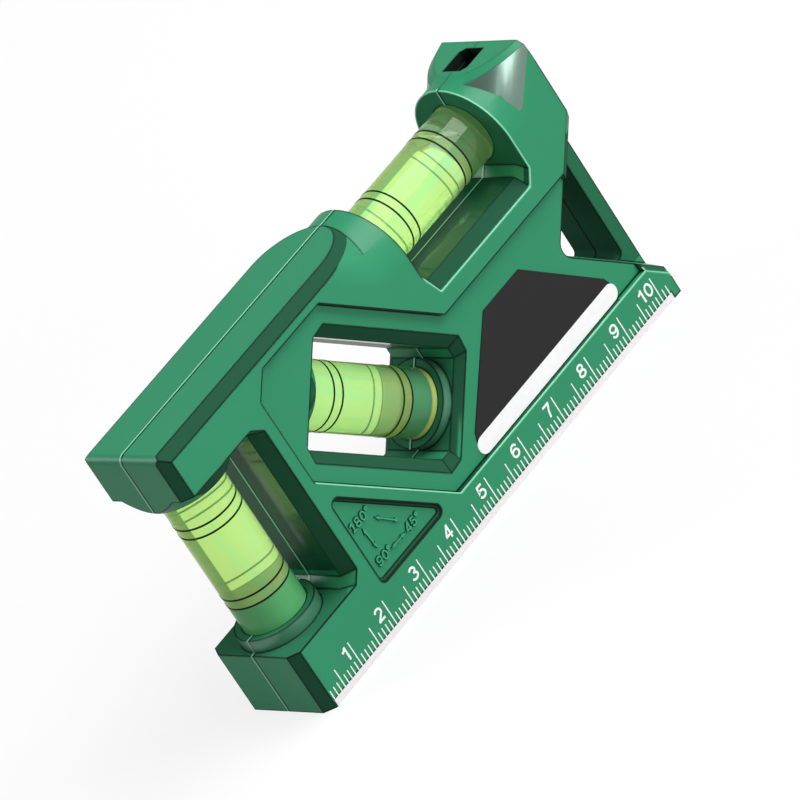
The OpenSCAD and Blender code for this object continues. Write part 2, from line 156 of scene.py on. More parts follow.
class LevelPrintSizes(bpy.types.PropertyGroup):
    """Sizes of the printed numbers and of the embossed signs."""
    number_height: FloatProperty(
        name="Number height", description="Height of a printed number",
        default=2.56 * MM, unit="LENGTH")
    number_low: FloatProperty(
        name="Number baseline", description="Height of the numbers' baseline above the base",
        default=3.86 * MM, unit="LENGTH")
    number_gap: FloatProperty(
        name="Number gap", description="Space between a number and its centimetre line",
        default=0.95 * MM, unit="LENGTH")
    number_gap_wide: FloatProperty(
        name="Wide number gap", description="The same space for a number of two digits",
        default=0.45 * MM, unit="LENGTH")
    print_depth: FloatProperty(
        name="Print depth", description="Thickness of the printed ink",
        default=0.048 * MM, unit="LENGTH")
    sign_height: FloatProperty(
        name="Sign height", description="Height of the embossed digits at their foot",
        default=1.8 * MM, unit="LENGTH")
    sign_floor: FloatProperty(
        name="Sign floor", description="Depth of the recess that carries the signs",
        default=0.8 * MM, unit="LENGTH")
    sign_raise: FloatProperty(
        name="Sign raise", description="Height of the signs over the floor of their recess",
        default=0.3 * MM, unit="LENGTH")
    arrow_width: FloatProperty(
        name="Arrow width", description="Width of an arrow head at its foot",
        default=1.0 * MM, unit="LENGTH")
    arrow_head: FloatProperty(
        name="Arrow head", description="Length of an arrow head",
        default=1.35 * MM, unit="LENGTH")
    arrow_shaft: FloatProperty(
        name="Arrow shaft", description="Width of an arrow between its heads at its foot",
        default=0.46 * MM, unit="LENGTH")
    arrow_slope: FloatProperty(
        name="Arrow slope", description="How far the sides of an arrow lean in",
        default=0.1 * MM, unit="LENGTH")
    recess_slope: FloatProperty(
        name="Recess slope", description="Width of the sloping wall round the signs' recess",
        default=0.68 * MM, unit="LENGTH")


class LevelColours(bpy.types.PropertyGroup):
    """Colours of the finishes, as linear values."""
    plastic: FloatVectorProperty(
        name="Plastic", description="Green of the moulded shells",
        default=(0.0275, 0.259, 0.124), size=3, subtype="COLOR")
    gleam: FloatVectorProperty(
        name="Gleam", description="Pale green of the edges that catch the light",
        default=(0.28, 0.78, 0.5), size=3, subtype="COLOR")
    satin: FloatVectorProperty(
        name="Satin", description="Grey sheen under the leaning block and on the collars",
        default=(0.2, 0.3, 0.25), size=3, subtype="COLOR")
    magnet: FloatVectorProperty(
        name="Magnet", description="Pale coating of the magnet strip",
        default=(0.86, 0.83, 0.84), size=3, subtype="COLOR")
    label_dark: FloatVectorProperty(
        name="Dark label", description="Dark field of the label",
        default=(0.021, 0.021, 0.021), size=3, subtype="COLOR")
    label_light: FloatVectorProperty(
        name="Light label", description="Light field of the label",
        default=(0.93, 0.93, 0.93), size=3, subtype="COLOR")
    ink_light: FloatVectorProperty(
        name="White ink", description="Ink of the ruler",
        default=(0.9, 0.95, 0.92), size=3, subtype="COLOR")
    ink_dark: FloatVectorProperty(
        name="Dark ink", description="Ink of the rings on the vials",
        default=(0.012, 0.014, 0.006), size=3, subtype="COLOR")
    # Painted light: the ink's inner face is painted a lighter green for the light seen through
    # the liquid.
    ink_through: FloatVectorProperty(
        name="Ink seen through", description="The same ink as it shows through the liquid",
        default=(0.01, 0.5, 0.17), size=3, subtype="COLOR")
    acrylic: FloatVectorProperty(
        name="Acrylic", description="Clear tinted barrel of a vial",
        default=(0.63, 0.86, 0.34), size=3, subtype="COLOR")
    # Also painted as shade on a vial's unlike end, past its last ring line.
    acrylic_streak: FloatVectorProperty(
        name="Acrylic streaks", description="Deeper streaks along the barrel of a vial",
        default=(0.4, 0.86, 0.45), size=3, subtype="COLOR")
    acrylic_gloss: FloatVectorProperty(
        name="Acrylic gloss", description="Tint of the highlights on the barrel of a vial",
        default=(0.5, 0.6, 0.4), size=3, subtype="COLOR")
    # Painted shade: a teal tint on the level vial's unlike end.
    level_end: FloatVectorProperty(
        name="Level vial end", description="Clear end of the level vial",
        default=(0.42, 0.8, 0.5), size=3, subtype="COLOR")
    plumb_shade: FloatVectorProperty(
        name="Shaded plumb vial", description="End of the plumb vial that stands in shade",
        default=(0.09, 0.44, 0.155), size=3, subtype="COLOR")
    angle_shade: FloatVectorProperty(
        name="Shaded slanted vial", description="End of the slanted vial that stands in shade",
        default=(0.03, 0.27, 0.13), size=3, subtype="COLOR")
    # A painted yellow glint, not a rim of the vial's own.
    vial_rim: FloatVectorProperty(
        name="Vial rim", description="Yellow rim at the foot of the slanted vial's shaded end",
        default=(0.75, 0.8, 0.2), size=3, subtype="COLOR")
    # Painted glow on the vials' barrels, an emission though they are no lamp.
    glow: FloatVectorProperty(
        name="Glow", description="Glow of the dye in the liquid",
        default=(0.5, 0.72, 0.18), size=3, subtype="COLOR")
    # Painted highlight and painted shade that swirl on a bubble's skin.
    bubble_light: FloatVectorProperty(
        name="Light bubble", description="Light swirls on the skin of a bubble",
        default=(0.95, 1.0, 0.9), size=3, subtype="COLOR")
    bubble_deep: FloatVectorProperty(
        name="Deep bubble", description="Deep swirls on the skin of a bubble",
        default=(0.05, 0.22, 0.08), size=3, subtype="COLOR")
    liquid: FloatVectorProperty(
        name="Liquid", description="Tint that the liquid adds at each of its surfaces",
        default=(0.93, 1.0, 0.86), size=3, subtype="COLOR")
    floor: FloatVectorProperty(
        name="Floor", description="Plain pale floor",
        default=(0.9, 0.9, 0.9), size=3, subtype="COLOR")
    floor_bounce: FloatVectorProperty(
        name="Floor bounce", description="The floor as it throws light back on the level",
        default=(0.3, 0.3, 0.3), size=3, subtype="COLOR")


class LevelStage(bpy.types.PropertyGroup):
    """Camera, lamps and floor."""
    camera_place: FloatVectorProperty(
        name="Camera place", description="Where the camera stands",
        default=(-0.674010, -1.011588, 0.629007), size=3, subtype="TRANSLATION", unit="LENGTH")
    camera_turn: FloatVectorProperty(
        name="Camera turn", description="How the camera is turned",
        default=(math.radians(59.13133), math.radians(29.44357), math.radians(-50.03092)),
        size=3, subtype="EULER", unit="ROTATION")
    lens: FloatProperty(
        name="Lens", description="Focal length in millimetres on a 36 mm sensor", default=370.4)
    key_power: FloatProperty(
        name="Key power", description="Power of the large lamp over the far end",
        default=14.0, unit="POWER")
    key_size: FloatProperty(
        name="Key size", description="Side of that square lamp", default=0.9, unit="LENGTH")
    key_place: FloatVectorProperty(
        name="Key place", description="Where that lamp hangs",
        default=(0.55, -0.5, 0.85), size=3, subtype="TRANSLATION", unit="LENGTH")
    fill_power: FloatProperty(
        name="Fill power", description="Power of the lamp low in front",
        default=6.5, unit="POWER")
    fill_place: FloatVectorProperty(
        name="Fill place", description="Where that lamp stands",
        default=(-0.14, -1.3, 0.26), size=3, subtype="TRANSLATION", unit="LENGTH")
    rim_power: FloatProperty(
        name="Rim power", description="Power of the lamp behind the zero end",
        default=5.0, unit="POWER")
    rim_place: FloatVectorProperty(
        name="Rim place", description="Where that lamp stands",
        default=(-0.6, 0.95, 0.65), size=3, subtype="TRANSLATION", unit="LENGTH")
    lamp_size: FloatProperty(
        name="Lamp size", description="Side of the two smaller square lamps",
        default=0.55, unit="LENGTH")
    floor_size: FloatProperty(
        name="Floor size", description="Side of the floor", default=8.0, unit="LENGTH")
    ambient: FloatProperty(
        name="Ambient", description="Strength of the even light from all round", default=0.25)


# Shader nodes

class Value:
    """A number in a node tree. Arithmetic on it adds Math nodes."""

    def __init__(self, finish, socket):
        self.finish, self.socket = finish, socket

    def math(self, operation, *others):
        """A Math node with this number as its first input."""
        sockets = dict(enumerate((self, *others)))
        return self.finish.value("ShaderNodeMath", {"operation": operation}, sockets)

    def __add__(self, other):
        return self.math("ADD", other)

    __radd__ = __add__

    def __sub__(self, other):
        return self.math("SUBTRACT", other)

    def __rsub__(self, other):
        return self.finish.value("ShaderNodeMath", {"operation": "SUBTRACT"}, {0: other, 1: self})

    def __mul__(self, other):
        return self.math("MULTIPLY", other)

    __rmul__ = __mul__

    def __gt__(self, other):
        return self.math("GREATER_THAN", other)

    def __lt__(self, other):
        return self.math("LESS_THAN", other)

    def __or__(self, other):
        return self.math("MAXIMUM", other)

    def __abs__(self):
        return self.math("ABSOLUTE")

    def within(self, low, high):
        """1 from low to high, else 0."""
        return (self > low) * (self < high)

    def near(self, middle, reach):
        """1 as far as reach from a middle on both sides, else 0."""
        return self.within(middle - reach, middle + reach)


class Finish:
    """A material or world under construction."""

    def __init__(self, owner):
        owner.use_nodes = True
        self.owner, self.tree = owner, owner.node_tree
        self.tree.nodes.clear()

    def node(self, kind, settings=None, sockets=None):
        """Adds a node of a type, sets its settings first, then its sockets' values or links."""
        made = self.tree.nodes.new(kind)
        for name, given in (settings or {}).items():
            setattr(made, name, given)
        for name, given in (sockets or {}).items():
            if isinstance(given, Value):
                given = given.socket
            if isinstance(given, bpy.types.NodeSocket):
                self.tree.links.new(given, made.inputs[name])
            else:
                made.inputs[name].default_value = given
        return made

    def value(self, kind, settings=None, sockets=None, output=0):
        """As node, but gives one of its outputs to calculate with."""
        return Value(self, self.node(kind, settings, sockets).outputs[output])

    def ramp(self, value, low, high):
        """0 up to low, 1 from high on, and a smooth slope between them."""
        return self.value("ShaderNodeMapRange", {"interpolation_type": "SMOOTHSTEP"},
                          {"Value": value, "From Min": low, "From Max": high})

    def place(self):
        """Object coordinates, the same as the row frame on every piece."""
        return self.node("ShaderNodeTexCoord").outputs["Object"]

    def parts(self, vector):
        """The three numbers of a vector."""
        split = self.node("ShaderNodeSeparateXYZ", None, {0: vector})
        return [Value(self, split.outputs[name]) for name in "XYZ"]

    def dot(self, vector, other):
        """How far one vector runs along another."""
        return self.value("ShaderNodeVectorMath", {"operation": "DOT_PRODUCT"},
                          {0: vector, 1: other}, "Value")

    def noise(self, scale, detail=2.0, place=None):
        """Noise from 0 to 1, in Object coordinates if no place is given, scale in cells per
        metre."""
        place = self.place() if place is None else place
        return self.value("ShaderNodeTexNoise", {"noise_dimensions": "3D"},
                          {"Vector": place, "Scale": scale, "Detail": detail}, "Fac")

    def bump(self, height, strength, distance):
        """The surface's normal, roughened by a height."""
        return self.node("ShaderNodeBump", None, {
            "Strength": strength, "Distance": distance, "Height": height}).outputs[0]

    def tint(self, colour, other, factor):
        """Mix of two colours, each three numbers or a socket."""
        pair = [given if isinstance(given, bpy.types.NodeSocket) else (*given, 1.0)
                for given in (colour, other)]
        mixed = self.node("ShaderNodeMix", {"data_type": "RGBA"},
                          {0: factor, 6: pair[0], 7: pair[1]})
        return mixed.outputs[2]

    def principled(self, sockets):
        """The common surface shader, with its sockets' values or links."""
        return self.node("ShaderNodeBsdfPrincipled", None, sockets).outputs[0]

    def blend(self, factor, shader, other):
        """Mix of two shaders, the second one where the factor is 1."""
        return self.node("ShaderNodeMixShader", None, {0: factor, 1: shader, 2: other}).outputs[0]

    def close(self, shader):
        """Links the shader to the output and hands the material over."""
        kind = "ShaderNodeOutputWorld" if isinstance(self.owner, bpy.types.World) \
            else "ShaderNodeOutputMaterial"
        self.node(kind, None, {"Surface": shader})
        return self.owner


def shade(colour, factor):
    """A colour made darker or lighter by a factor."""
    return tuple(min(1.0, part * factor) for part in colour)


def new_finish(name):
    """A new, empty material to build a finish on."""
    return Finish(bpy.data.materials.new(name))


# Places on the pieces as masks, 1 in a place and 0 elsewhere

def any_of(masks):
    """1 where at least one of the masks is 1."""
    return functools.reduce(operator.or_, masks)


def from_axis(f, vial):
    """Distance from a vial's axis, and along it from the middle towards its unlike end."""
    axis = VIALS[vial].axis
    offset = f.node("ShaderNodeVectorMath", {"operation": "SUBTRACT"},
                    {0: f.place(), 1: VIAL_MIDDLES[vial]}).outputs[0]
    across = f.node("ShaderNodeVectorMath", {"operation": "CROSS_PRODUCT"},
                    {0: offset, 1: axis}).outputs[0]
    away = f.value("ShaderNodeVectorMath", {"operation": "LENGTH"}, {0: across}, "Value")
    return away, f.dot(offset, axis)


def slanted(place):
    """A point's two slanted places S and T."""
    x, _, z = place
    run = x - ZERO_X
    return (run - z) * (1 / ROOT2), (run + z) * (1 / ROOT2)


def round_mask(outward, across, normal_out, normal_across):
    """1 on the sides of a cylinder with the bosses' radius, given a place and a normal as seen
    along its axis: the place is one radius away and the normal points straight out."""
    straight = 0.98
    reach = (outward * outward + across * across).math("SQRT")
    points_out = outward * normal_out + across * normal_across > reach * straight
    return reach.near(BOSS_RADIUS, BOSS_SLACK) * points_out


def bevel_mask(f, place, normal):
    """1 on the flat bevels and chamfers of the shells, where shade is painted: faces near the
    front or the rear that lean between facing out and facing sideways, the chamfer round the top
    of the left block, and the ledge round the panel. The bosses, whose normals run straight out
    from their axis, the round shoulder between the left block and its boss, and the right block
    are left out."""
    sideways = 0.3
    x, y, z = place
    depth, lean = abs(y), abs(normal[1])
    leans = f.ramp(lean, 0.34, 0.42) * f.ramp(1 - lean, 0.01, 0.12)
    boss = round_mask(y, z - BOSS_Z, normal[1], normal[2])
    shoulder = (slanted(place)[1] > SHOULDER_T) * (x < SHOULDER_END_X)
    right_block = (x > LEANING_X) * (z > LEANING_Z)
    sloping = leans * (depth > BEVEL_FROM_Y) * (1 - (shoulder | right_block))
    chamfer = z.within(CHAMFER_LOW_Z, TOP_Z - JUST_SHORT) * x.within(CHAMFER_START_X, BLOCK_END_X)
    ledge = (lean < sideways) * depth.within(PANEL_FROM_Y, HALF_DEPTH - JUST_SHORT) * x.within(
        PANEL_LOW_X, PANEL_HIGH_X) * z.within(PANEL_LOW_Z, PANEL_TOP_Z)
    return (sloping | chamfer | ledge) * (1 - boss)


def gleam_mask(place):
    """1 round the edges that catch the light: the level window, the boss end beside it, the top
    of the ruler band, the rim under the slanted window and the lip of the notch."""
    x, y, z = place
    run, high, rise = x - ZERO_X, z - BOSS_Z, slanted(place)[1]
    window = x.within(WINDOW_LOW_X, WINDOW_HIGH_X) * (z > WINDOW_LIP_Z)
    band = z.near(RULER_BAND_Z, BAND_HALF) * (run > BAND_RUN)
    rim = rise.near(RIM_T, RIM_HALF) * run.within(RIM_LOW_RUN, RIM_HIGH_RUN)
    lip = rise.near(LIP_T, LIP_HALF) * (run > LIP_RUN)
    boss_end = x.near(BOSS_END_X, BOSS_EDGE_HALF) * (high > BOSS_EDGE_LOW) * (
        y * y + high * high > BOSS_EDGE_RADIUS ** 2)
    return (window | band | rim | lip) * (abs(y) > GLEAM_FROM_Y) | boss_end


def vial_masks(f, flat, vial):
    """Three masks beside a vial: the walls along it, the walls across its ends, and the straight
    collar round its unlike end. A facing is how far a face turns to the vial's ends: 0 for a
    wall along the vial, 1 for a wall across it."""
    wall_most, end_least, collar_most = 0.4, 0.9, 0.2
    away, along = from_axis(f, vial)
    facing = abs(f.dot(flat, VIALS[vial].axis))
    close_by = away < WINDOW_REACH
    wall = close_by * (abs(along) < WINDOW_HALF) * (facing < wall_most)
    end = close_by * (abs(along) < WINDOW_HALF + END_ROOM) * (facing > end_least)
    collar = away.near(COLLAR_RADIUS, COLLAR_SLACK) * (along > LAST_RING) * (
        facing < collar_most)
    return wall, end, collar


def shell_masks(f, flat):
    """The masks of the shells by name. A lean is how far a face turns to the front or the rear:
    0 for a side wall, 1 for the front or rear face itself."""
    wall_most, hole_most, leaning_most, flank_most = 0.2, 0.3, 0.985, 0.9
    far_end_facing = 0.9
    place, normal = f.parts(f.place()), f.parts(flat)
    x, y, z = place
    depth, lean = abs(y), abs(normal[1])
    walls, ends, collars = zip(*(vial_masks(f, flat, vial) for vial in VIALS))
    wall = any_of(walls) * (depth < WALL_TO_Y) * (lean < wall_most)
    rounded = round_mask(y, slanted(place)[0] - LEANING_S, normal[1],
                         (normal[0] - normal[2]) * (1 / ROOT2))
    leaning = (x > LEANING_X) * (depth > LEANING_FROM_Y) * (lean < leaning_most) * rounded
    strut = (x > STRUT_X) * z.within(STRUT_LOW_Z, LEANING_Z) * (depth < STRUT_TO_Y) * (
        normal[0] < far_end_facing)
    slot = x.within(SLOT_LOW_X, SLOT_HIGH_X) * (depth < SLOT_TO_Y) * z.within(
        LEANING_Z, SLOT_TOP_Z)
    return types.SimpleNamespace(
        wall=wall, leaning=leaning, strut=strut, slot=slot,
        ends=any_of(ends), collars=any_of(collars), hole=strut * (lean < hole_most),
        polished=wall * f.ramp(y, WALL_DULL_Y, WALL_SHINY_Y) | leaning,
        bevel=bevel_mask(f, place, normal), gleam=gleam_mask(place),
        right_top=(x > LEANING_X) * (z > RIGHT_TOP_Z), flanks=lean < flank_most,
        pale_seam=y.within(0.0, SEAM_PALE), dark_seam=y.within(-SEAM_DARK, 0.0))


# Finishes

def shell_tone(f, colours, colour, drift, edge, at, flank_weight):
    """The plastic's own colour, drifting a little, under its layers from the lowest up. Each
    layer is a tone and where it shows, from 0 to 1. The layers are painted shade, painted
    highlights and the dark front half of the parting line."""
    hollow_reach = 6.0 * MM
    open_air = f.value("ShaderNodeAmbientOcclusion", {"samples": 8, "only_local": True},
                       {"Distance": hollow_reach}, "AO")
    joined = 1 - (at.strut | at.right_top)
    # Painted shade on the bevels, the walls, the leaning block, the end walls, the strut, its
    # hole, the signs' flanks and the hollows, dark painted lines along the edges as shade,
    # painted highlights on the edges that catch the light and on the rear half of the parting
    # line, the dark front half of the parting line, and the slot painted black as shade.
    layers = (
        (shade(colour, 0.3), at.bevel),
        (shade(colour, 0.33), at.wall | at.leaning),
        (shade(colour, 0.66), at.ends),
        (shade(colour, 0.52), at.strut),
        (shade(colour, 0.34), at.hole),
        (shade(colour, 0.12), at.flanks * flank_weight),
        (shade(colour, 0.3), f.ramp(1 - open_air, 0.35, 1.0) * 0.75),
        (shade(colour, 0.05), edge * (1 - at.gleam) * (1 - at.right_top * 0.6)),
        (colours.gleam, edge * at.gleam * 0.9),
        (colours.gleam, at.pale_seam * joined * 0.85),
        (shade(colour, 0.06), at.dark_seam * joined * 0.9),
        (shade(colour, 0.02), at.slot))
    base = f.tint(shade(colour, 0.94), shade(colour, 1.06), drift)
    for tone, mask in layers:
        base = f.tint(base, tone, mask)
    return base


def moulded_plastic(name, colours, lighter, edge_reach, flank_weight=0.0):
    """Satin moulded plastic: fine spark-eroded grain, soft tone drift, painted shade on the
    bevels, the walls beside the vials, the leaning block, the end walls, the strut, its hole and
    the hollows, fine painted lines along the edges, dark as shade and pale as highlights where
    the edges catch the light, polished walls beside the vials and under the leaning block, dull
    end walls, a grey sheen on the leaning block and the collars, the slot's inside painted black
    as shade, and the parting line of the two half shells, pale as a painted highlight on the rear
    half and dark on the front half. A lighter factor above 1 paints the plastic lighter, as light
    on the tops of the signs, and a flank weight paints shade on all faces that don't face the
    front or the rear."""
    grain_cells, drift_cells, grain_depth = 2600.0, 45.0, 0.05 * MM
    f = new_finish(name)
    colour = shade(colours.plastic, lighter)
    flat = f.node("ShaderNodeNewGeometry").outputs["Normal"]
    at = shell_masks(f, flat)
    grain, drift = f.noise(grain_cells), f.noise(drift_cells, 3.0)
    rounded = f.node("ShaderNodeBevel", {"samples": 8}, {"Radius": edge_reach}).outputs[0]
    edge = f.ramp(1 - f.dot(rounded, flat), 0.002, 0.012)
    dull = at.bevel | at.slot | at.strut | at.ends
    bump = f.bump(grain * (1 - at.polished) * 0.35, 0.2, grain_depth)
    plastic = f.principled({
        "Base Color": shell_tone(f, colours, colour, drift, edge, at, flank_weight),
        "Roughness": grain * 0.1 + drift * 0.08 + 0.25 + dull * 0.5, "Normal": bump,
        "IOR": 1.4, "Specular IOR Level": 0.35,
        "Coat Weight": at.polished, "Coat IOR": 1.8, "Coat Roughness": 0.12})
    sheen = f.principled({
        "Base Color": f.tint(shade(colours.satin, 0.85), shade(colours.satin, 1.15), drift),
        "Metallic": 0.75, "Roughness": 0.3, "Normal": bump})
    return f.close(f.blend(at.leaning * 0.8 | at.collars * 0.5, plastic, sheen))


def printed_film(name, colour, roughness, cells):
    """Printed ink or label film: an even tone with a faint mottle and a slightly wavy surface."""
    wave_depth = 0.02 * MM
    f = new_finish(name)
    mottle = f.noise(cells, 3.0)
    return f.close(f.principled({
        "Base Color": f.tint(shade(colour, 0.94), shade(colour, 1.05), mottle),
        "Roughness": mottle * 0.12 + roughness, "Normal": f.bump(mottle, 0.15, wave_depth),
        "Specular IOR Level": 0.15}))


def ring_ink(name, colours, vial):
    """Ink of the ring lines: dark from outside, and painted a lighter green where it shows
    through the liquid, as the light seen through it.
    """
    mottle_cells, outer_skin = 900.0, VIAL_RADIUS + 0.02 * MM
    f = new_finish(name)
    away, _ = from_axis(f, vial)
    tone = f.tint(shade(colours.ink_dark, 0.9), shade(colours.ink_dark, 1.1),
                  f.noise(mottle_cells))
    return f.close(f.principled({
        "Base Color": f.tint(colours.ink_through, tone, away > outer_skin),
        "Roughness": 0.45, "Specular IOR Level": 0.1}))


def magnet_coat(colour):
    """Pale coating over bonded magnet: fine grains and faint rolling streaks along the strip."""
    streak_cells, grain_cells, grain_depth = (60.0, 1500.0, 1500.0), 3500.0, 0.03 * MM
    f = new_finish("pale_magnet_coat")
    drawn = f.node("ShaderNodeMapping", None,
                   {"Vector": f.place(), "Scale": streak_cells}).outputs[0]
    streaks, grains = f.noise(1.0, place=drawn), f.noise(grain_cells)
    return f.close(f.principled({
        "Base Color": f.tint(shade(colour, 0.9), shade(colour, 1.06),
                             streaks * 0.6 + grains * 0.4),
        "Roughness": grains * 0.15 + 0.45, "Normal": f.bump(grains, 0.3, grain_depth)}))


def clear_barrel(name, colours, vial):
    """Tinted clear acrylic with a faint painted glow, an emission though it is no lamp, and
    streaks along it. Its outer skin bends the light. Past the last ring line its unlike end is
    painted in shade, with a skin of its own: clear and teal on the level vial, and milky and
    deep green on the two vials whose end stands in shade; a painted yellow glint runs round
    the rim of the slanted vial's end. Its bore is wetted by a liquid that bends light as much as
    the acrylic does, so nothing is seen of it."""
    skin_from, ring_slope = 5.2 * MM, 0.15 * MM
    glint_from, glint_full = 12.7 * MM, 13.3 * MM
    streak_cells, streak_draw, ripple_cells, ripple_depth = 420.0, 0.94, 220.0, 0.02 * MM
    shaded_end_roughness, clear_roughness = 0.2, 0.03
    look = VIALS[vial]
    f = new_finish(name)
    away, along = from_axis(f, vial)
    bump = f.bump(f.noise(ripple_cells), 0.05, ripple_depth)
    lengthwise = f.node("ShaderNodeVectorMath", {"operation": "SCALE"},
                        {0: look.axis, "Scale": along * streak_draw}).outputs[0]
    drawn = f.node("ShaderNodeVectorMath", {"operation": "SUBTRACT"},
                   {0: f.place(), 1: lengthwise}).outputs[0]
    streak = f.noise(streak_cells, place=drawn)
    past = f.ramp(along, LAST_RING, LAST_RING + ring_slope)
    # A painted yellow glint round the rim of the unlike end.
    rim = f.ramp(along, glint_from, glint_full) * look.rim_weight
    tone = f.tint(colours.acrylic, colours.acrylic_streak, f.ramp(streak, 0.46, 0.66) * 0.75)
    # Past the last ring line the tone is painted towards the deeper green, as shade.
    tone = f.tint(tone, colours.acrylic_streak, past * 0.6)
    glass = f.principled({
        "Base Color": f.tint(tone, colours.vial_rim, rim), "Normal": bump,
        "Roughness": clear_roughness, "IOR": 1.38, "Transmission Weight": 0.75,
        "Specular IOR Level": 0.3, "Specular Tint": (*colours.acrylic_gloss, 1.0),
        # A weak emission paints a glow on the barrel.
        "Emission Color": (*colours.glow, 1.0), "Emission Strength": 0.1})
    # The unlike end's own skin, painted in shade.
    end_colour = getattr(colours, look.end_colour)
    end_shade_tone = f.tint(shade(end_colour, 0.9), shade(end_colour, 1.12), streak)
    cleared = (shaded_end_roughness - clear_roughness) * look.end_clearness
    end = f.principled({
        "Base Color": f.tint(end_shade_tone, colours.vial_rim, rim), "Normal": bump,
        "Roughness": shaded_end_roughness - cleared, "IOR": 1.46,
        "Transmission Weight": look.end_clearness, "Specular IOR Level": 0.3})
    skin = f.blend(past * look.end_weight, glass, end)
    wetted = f.node("ShaderNodeBsdfTransparent", None, {"Color": WHITE}).outputs[0]
    return f.close(f.blend(away > skin_from, wetted, skin))


def tinted_liquid(name, colours, vial):
    """Liquid: clear and tinted, seen as a surface only where the bubble is. The bubble's skin
    swirls between light and deep green, painted highlights and painted shade that stand in for
    its reflections."""
    wall_from, end_from, swirl_cells = 4.25 * MM, 12.2 * MM, 260.0
    f = new_finish(name)
    away, along = from_axis(f, vial)
    bubble = (away < wall_from) * (abs(along) < end_from) * VIALS[vial].bubble_weight
    swirl = f.ramp(f.noise(swirl_cells), 0.44, 0.58)
    skin = f.principled({
        "Base Color": f.tint(colours.bubble_light, colours.bubble_deep, swirl),
        "Roughness": 0.0, "IOR": 1.46, "Transmission Weight": 0.35})
    clear = f.node("ShaderNodeBsdfTransparent", None,
                   {"Color": (*colours.liquid, 1.0)}).outputs[0]
    return f.close(f.blend(bubble, clear, skin))


# Meshes

def finish_node(name, material):
    """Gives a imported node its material, and smooth shading between its sharp edges."""
    weld_reach, sharp_from = 0.002 * MM, math.radians(24.0)
    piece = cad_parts[name]
    if not piece.data.materials:
        piece.data.materials.append(None)
    for slot in piece.material_slots:
        slot.material = material
    smooth = np.ones(len(piece.data.polygons), bool)
    piece.data.polygons.foreach_set("use_smooth", smooth)
    weld = piece.modifiers.new("join", "WELD")
    weld.merge_threshold = weld_reach
    split = piece.modifiers.new("sharp", "EDGE_SPLIT")
    split.split_angle = sharp_from


def add_piece(name, parts, material):
    """Joins (points, faces) pairs to one new piece with its faces outwards. It rides on the
    body."""
    starts = np.cumsum([0] + [len(points) for points, _ in parts])
    faces = [tuple(start + i for i in face) for (_, loops), start in zip(parts, starts)
             for face in loops]
    mesh = bpy.data.meshes.new(name)
    mesh.from_pydata(np.concatenate([points for points, _ in parts]).tolist(), [], faces)
    shape = bmesh.new()
    shape.from_mesh(mesh)
    bmesh.ops.recalc_face_normals(shape, faces=shape.faces)
    shape.to_mesh(mesh)
    shape.free()
    mesh.materials.append(material)
    piece = bpy.data.objects.new(name, mesh)
    bpy.context.scene.collection.objects.link(piece)
    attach(piece, BODY)


def arc(x, z, wide, high, start, end):
    """Twenty points along an ellipse about (x, z), from one angle in degrees to another."""
    turn = np.radians(np.linspace(start, end, 20))
    return np.stack([x + wide * np.cos(turn), z + high * np.sin(turn)], 1)


def carry(path, section, closed=False):
    """Carries a closed cross section along a flat path. Each station is the path's point moved
    by the section's first number along the mitred normal, raised by its second number."""
    following = np.roll(path, -1, 0)
    if not closed:
        following[-1] = 2 * path[-1] - path[-2]
    ahead = following - path
    ahead /= np.linalg.norm(ahead, axis=1, keepdims=True)
    behind = np.roll(ahead, 1, 0)
    if not closed:
        behind[0] = ahead[0]
    mitre = (ahead + behind) / (1 + np.sum(ahead * behind, 1, keepdims=True))
    normal = np.stack([-mitre[:, 1], mitre[:, 0]], 1)
    flat = path[:, None] + normal[:, None] * section[None, :, :1]
    height = np.broadcast_to(section[None, :, 1:], (*flat.shape[:2], 1))
    stations, corners = flat.shape[:2]
    index = np.arange(stations * corners).reshape(stations, corners)
    here, after = (index, np.roll(index, -1, 0)) if closed else (index[:-1], index[1:])
    walls = np.stack([here, np.roll(here, -1, 1), np.roll(after, -1, 1), after], 2).reshape(-1, 4)
    faces = [tuple(wall) for wall in walls.tolist()]
    if not closed:
        faces += [tuple(index[0].tolist()), tuple(index[-1, ::-1].tolist())]
    return np.concatenate([flat, height], 2).reshape(-1, 3), faces


